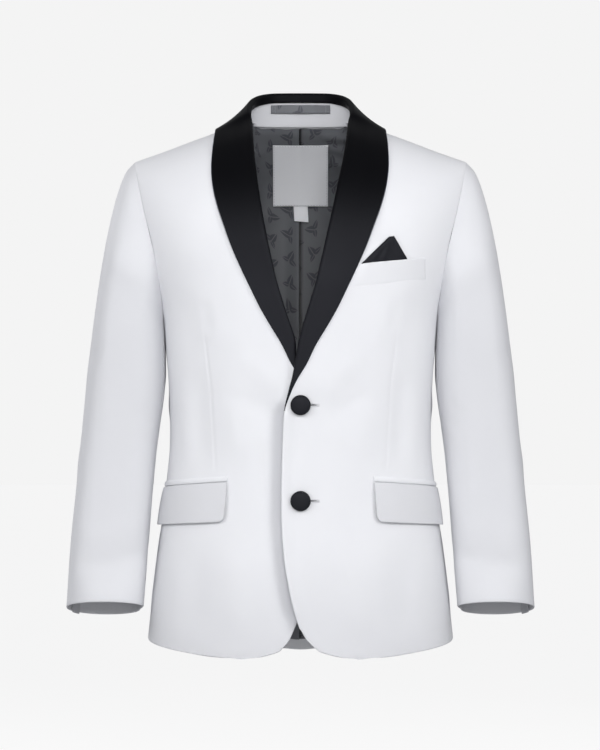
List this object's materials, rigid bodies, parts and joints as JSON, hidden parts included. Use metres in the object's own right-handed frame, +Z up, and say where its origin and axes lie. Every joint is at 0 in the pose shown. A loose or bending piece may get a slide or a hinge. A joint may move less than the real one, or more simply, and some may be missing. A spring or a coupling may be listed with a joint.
{
  "type": "child's shawl-collar tuxedo jacket",
  "caption": "Boy's single-breasted tuxedo jacket in white cloth with a black satin shawl collar, filled out with no wearer, open at neck, hem and cuffs.",
  "frame": {"origin": "between the shoulders, on the jacket's middle plane, level with the neck points of the shoulder seams, where the wearer's neck carries it", "axes": "+Z up along the back seam, -Y out of the front, +X towards the wearer's left"},
  "size_m": [0.4174, 0.1898, 0.5145],
  "materials": {
    "white_suiting": "matte fine twill",
    "black_satin": "soft satin sheen",
    "grey_lining": "smooth lining with a tone-on-tone motif",
    "label_satin": "bare satin label"
  },
  "bodies": {
    "root": {"back_left": "white_suiting", "back_right": "white_suiting", "front_left": "white_suiting", "front_right": "white_suiting", "side_left": "white_suiting", "side_right": "white_suiting", "sleeve_top_left": "white_suiting", "sleeve_top_right": "white_suiting", "sleeve_under_left": "white_suiting", "sleeve_under_right": "white_suiting", "vent_left": "white_suiting", "vent_right": "white_suiting", "flap_left": "white_suiting", "flap_right": "white_suiting", "jet_left": "white_suiting", "jet_right": "white_suiting", "breast_welt": "white_suiting", "collar_stand": "white_suiting", "collar_left": "black_satin", "collar_right": "black_satin", "pocket_square": "black_satin", "button_upper": "black_satin", "button_lower": "black_satin", "lining_back_left": "grey_lining", "lining_back_right": "grey_lining", "hanger_loop": "grey_lining", "label_large": "label_satin", "label_small": "label_satin"}
  },
  "joints": []
}
